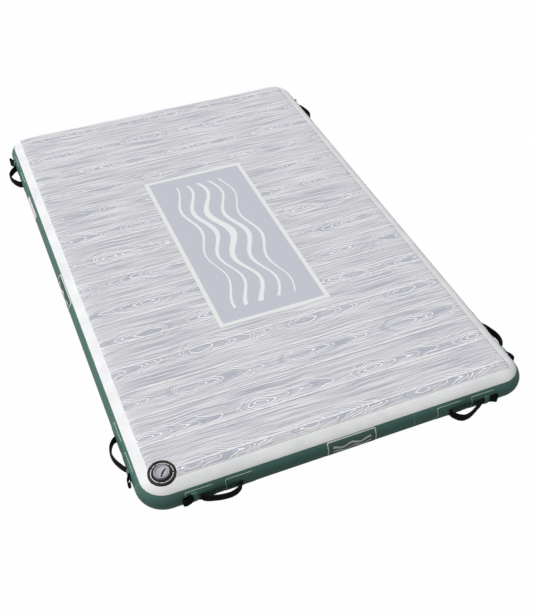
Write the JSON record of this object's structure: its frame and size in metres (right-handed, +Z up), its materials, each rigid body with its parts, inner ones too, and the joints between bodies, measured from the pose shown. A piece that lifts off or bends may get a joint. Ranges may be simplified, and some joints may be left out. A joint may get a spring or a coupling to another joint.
{
  "type": "inflatable dock platform",
  "caption": "Flat rectangular inflatable dock with a drop-stitch air chamber, foam deck pad, corner air valve, and webbing carry handles and tow loops round its side wall.",
  "frame": {"origin": "on the surface that the dock lies on, under the middle of its bounding box", "axes": "+Z up, Y along the length with the front end at -Y, X across the width with the valve's corner at -X"},
  "size_m": [1.9266, 2.9644, 0.1676],
  "materials": {
    "white_sheet": "satin coated fabric, fine grain",
    "green_sheet": "satin coated fabric",
    "grey_sheet": "satin coated fabric",
    "thread": "polyester thread and base cloth",
    "deck_foam": "matt closed-cell foam with a printed plank pattern",
    "black_rubber": "satin",
    "grey_plastic": "satin moulded",
    "webbing": "woven polyester webbing",
    "blank_plate": "smooth vinyl",
    "steel": "drawn stainless wire"
  },
  "bodies": {
    "dock": {"bottom_seam_tape": "grey_sheet", "bottom_skin": "grey_sheet", "deck_pad": "deck_foam", "drop_stitch_core": "thread", "front_label": "green_sheet", "front_side_left_inner_patch": "green_sheet", "front_side_left_outer_patch": "green_sheet", "front_side_right_inner_patch": "green_sheet", "front_side_right_outer_patch": "green_sheet", "left_blank_plate": "blank_plate", "left_label": "green_sheet", "left_side_front_inner_patch": "green_sheet", "left_side_front_outer_patch": "green_sheet", "left_side_rear_inner_patch": "green_sheet", "left_side_rear_outer_patch": "green_sheet", "rear_side_left_inner_patch": "green_sheet", "rear_side_left_outer_patch": "green_sheet", "rear_side_right_inner_patch": "green_sheet", "rear_side_right_outer_patch": "green_sheet", "right_side_front_inner_patch": "green_sheet", "right_side_front_outer_patch": "green_sheet", "right_side_rear_inner_patch": "green_sheet", "right_side_rear_outer_patch": "green_sheet", "side_wall": "green_sheet", "top_seam_tape": "white_sheet", "top_skin": "white_sheet", "valve_body": "grey_plastic", "valve_nut": "grey_plastic", "valve_spring": "steel", "valve_surround": "black_rubber"},
    "front_side_left_handle": {"front_side_left_handle": "webbing"},
    "front_side_left_tow_loop": {"front_side_left_tow_loop": "webbing"},
    "front_side_right_handle": {"front_side_right_handle": "webbing"},
    "front_side_right_tow_loop": {"front_side_right_tow_loop": "webbing"},
    "right_side_front_handle": {"right_side_front_handle": "webbing"},
    "right_side_front_tow_loop": {"right_side_front_tow_loop": "webbing"},
    "right_side_rear_handle": {"right_side_rear_handle": "webbing"},
    "right_side_rear_tow_loop": {"right_side_rear_tow_loop": "webbing"},
    "rear_side_right_handle": {"rear_side_right_handle": "webbing"},
    "rear_side_right_tow_loop": {"rear_side_right_tow_loop": "webbing"},
    "rear_side_left_handle": {"rear_side_left_handle": "webbing"},
    "rear_side_left_tow_loop": {"rear_side_left_tow_loop": "webbing"},
    "left_side_rear_handle": {"left_side_rear_handle": "webbing"},
    "left_side_rear_tow_loop": {"left_side_rear_tow_loop": "webbing"},
    "left_side_front_handle": {"left_side_front_handle": "webbing"},
    "left_side_front_tow_loop": {"left_side_front_tow_loop": "webbing"},
    "cap_seal": {"cap_seal": "black_rubber"},
    "valve_cap": {"valve_cap": "grey_plastic"},
    "valve_poppet": {"valve_poppet": "grey_plastic", "poppet_seal": "black_rubber"}
  },
  "joints": [
    {"name": "front_side_left_handle_swing", "type": "hinge", "parent": "dock", "child": "front_side_left_handle", "pos_m": [-0.584, -1.446, 0.076], "axis": [-1, 0, 0], "range_deg": [-70, 70]},
    {"name": "front_side_left_tow_loop_swing", "type": "hinge", "parent": "dock", "child": "front_side_left_tow_loop", "pos_m": [-0.709, -1.441, 0.076], "axis": [0, 0, 1], "range_deg": [-6, 100]},
    {"name": "front_side_right_handle_swing", "type": "hinge", "parent": "dock", "child": "front_side_right_handle", "pos_m": [0.584, -1.446, 0.076], "axis": [-1, 0, 0], "range_deg": [-70, 70]},
    {"name": "front_side_right_tow_loop_swing", "type": "hinge", "parent": "dock", "child": "front_side_right_tow_loop", "pos_m": [0.709, -1.441, 0.076], "axis": [0, 0, -1], "range_deg": [-6, 100]},
    {"name": "right_side_front_handle_swing", "type": "hinge", "parent": "dock", "child": "right_side_front_handle", "pos_m": [0.927, -1.103, 0.076], "axis": [0, -1, 0], "range_deg": [-70, 70]},
    {"name": "right_side_front_tow_loop_swing", "type": "hinge", "parent": "dock", "child": "right_side_front_tow_loop", "pos_m": [0.922, -1.228, 0.076], "axis": [0, 0, 1], "range_deg": [-6, 100]},
    {"name": "right_side_rear_handle_swing", "type": "hinge", "parent": "dock", "child": "right_side_rear_handle", "pos_m": [0.927, 1.103, 0.076], "axis": [0, -1, 0], "range_deg": [-70, 70]},
    {"name": "right_side_rear_tow_loop_swing", "type": "hinge", "parent": "dock", "child": "right_side_rear_tow_loop", "pos_m": [0.922, 1.228, 0.076], "axis": [0, 0, -1], "range_deg": [-6, 100]},
    {"name": "rear_side_right_handle_swing", "type": "hinge", "parent": "dock", "child": "rear_side_right_handle", "pos_m": [0.584, 1.446, 0.076], "axis": [1, 0, 0], "range_deg": [-70, 70]},
    {"name": "rear_side_right_tow_loop_swing", "type": "hinge", "parent": "dock", "child": "rear_side_right_tow_loop", "pos_m": [0.709, 1.441, 0.076], "axis": [0, 0, 1], "range_deg": [-6, 100]},
    {"name": "rear_side_left_handle_swing", "type": "hinge", "parent": "dock", "child": "rear_side_left_handle", "pos_m": [-0.584, 1.446, 0.076], "axis": [1, 0, 0], "range_deg": [-70, 70]},
    {"name": "rear_side_left_tow_loop_swing", "type": "hinge", "parent": "dock", "child": "rear_side_left_tow_loop", "pos_m": [-0.709, 1.441, 0.076], "axis": [0, 0, -1], "range_deg": [-6, 100]},
    {"name": "left_side_rear_handle_swing", "type": "hinge", "parent": "dock", "child": "left_side_rear_handle", "pos_m": [-0.927, 1.103, 0.076], "axis": [0, 1, 0], "range_deg": [-70, 70]},
    {"name": "left_side_rear_tow_loop_swing", "type": "hinge", "parent": "dock", "child": "left_side_rear_tow_loop", "pos_m": [-0.922, 1.228, 0.076], "axis": [0, 0, 1], "range_deg": [-6, 100]},
    {"name": "left_side_front_handle_swing", "type": "hinge", "parent": "dock", "child": "left_side_front_handle", "pos_m": [-0.927, -1.103, 0.076], "axis": [0, 1, 0], "range_deg": [-70, 70]},
    {"name": "left_side_front_tow_loop_swing", "type": "hinge", "parent": "dock", "child": "left_side_front_tow_loop", "pos_m": [-0.922, -1.228, 0.076], "axis": [0, 0, -1], "range_deg": [-6, 100]},
    {"name": "cap_lift", "type": "slide", "parent": "dock", "child": "cap_seal", "axis": [-0.0493, -0.0493, 0.9976], "range_m": [0, 0.02]},
    {"name": "cap_twist", "type": "hinge", "parent": "cap_seal", "child": "valve_cap", "pos_m": [-0.797, -1.318, 0.1546], "axis": [-0.0493, -0.0493, 0.9976], "range_deg": [0, 90]},
    {"name": "poppet_press", "type": "slide", "parent": "dock", "child": "valve_poppet", "axis": [0.0493, 0.0493, -0.9976], "range_m": [0, 0.005], "stiffness_N_per_m": 300, "springref_m": -0.004, "deforming": ["valve_spring"]}
  ]
}
